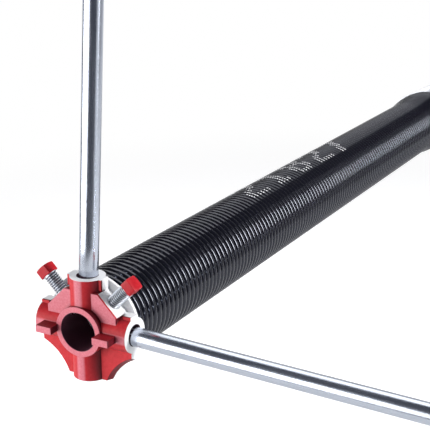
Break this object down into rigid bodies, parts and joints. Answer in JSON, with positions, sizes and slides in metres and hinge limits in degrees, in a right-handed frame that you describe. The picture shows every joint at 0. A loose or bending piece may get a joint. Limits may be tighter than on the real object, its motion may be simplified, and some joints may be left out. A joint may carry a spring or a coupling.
{
  "type": "garage door torsion spring",
  "caption": "Close-wound torsion spring on a cast winding cone with two set screws and two winding bars, and a cast stationary cone bolted at its far end.",
  "frame": {"origin": "centre of the winding cone's shaft bore, in the plane of its front ring", "axes": "+Y along the shaft from the winding cone to the stationary cone, +Z along the upper socket, +X along the right-hand socket"},
  "size_m": [0.5295, 0.7882, 0.5082],
  "materials": {
    "winding_cone": "cast aluminium, front half dipped in satin red paint, rear half and machined faces bare",
    "torsion_spring": "semi-gloss black coated spring wire",
    "stationary_cone": "bare cast aluminium",
    "set_screws": "bright zinc thread with a red painted square head",
    "winding_bars": "smooth bright zinc plated round bar"
  },
  "bodies": {
    "stationary_end": {"stationary_cone": "stationary_cone", "torsion_spring": "torsion_spring"},
    "winding_end": {"winding_cone": "winding_cone", "winding_bar_top": "winding_bars", "winding_bar_right": "winding_bars"},
    "left_screw": {"set_screw_left": "set_screws"},
    "right_screw": {"set_screw_right": "set_screws"}
  },
  "joints": [
    {"name": "wind", "type": "hinge", "parent": "stationary_end", "child": "winding_end", "pos_m": [0, 0, 0], "axis": [0, -1, 0], "range_deg": [0, 2700], "stiffness_Nm_per_rad": 0.43, "deforming": ["torsion_spring"]},
    {"name": "left_screw_travel", "type": "slide", "parent": "winding_end", "child": "left_screw", "axis": [0.7071, 0, -0.7071], "range_m": [-0.008, 0.004]},
    {"name": "right_screw_travel", "type": "slide", "parent": "winding_end", "child": "right_screw", "axis": [-0.7071, 0, -0.7071], "range_m": [-0.008, 0.0056]}
  ]
}
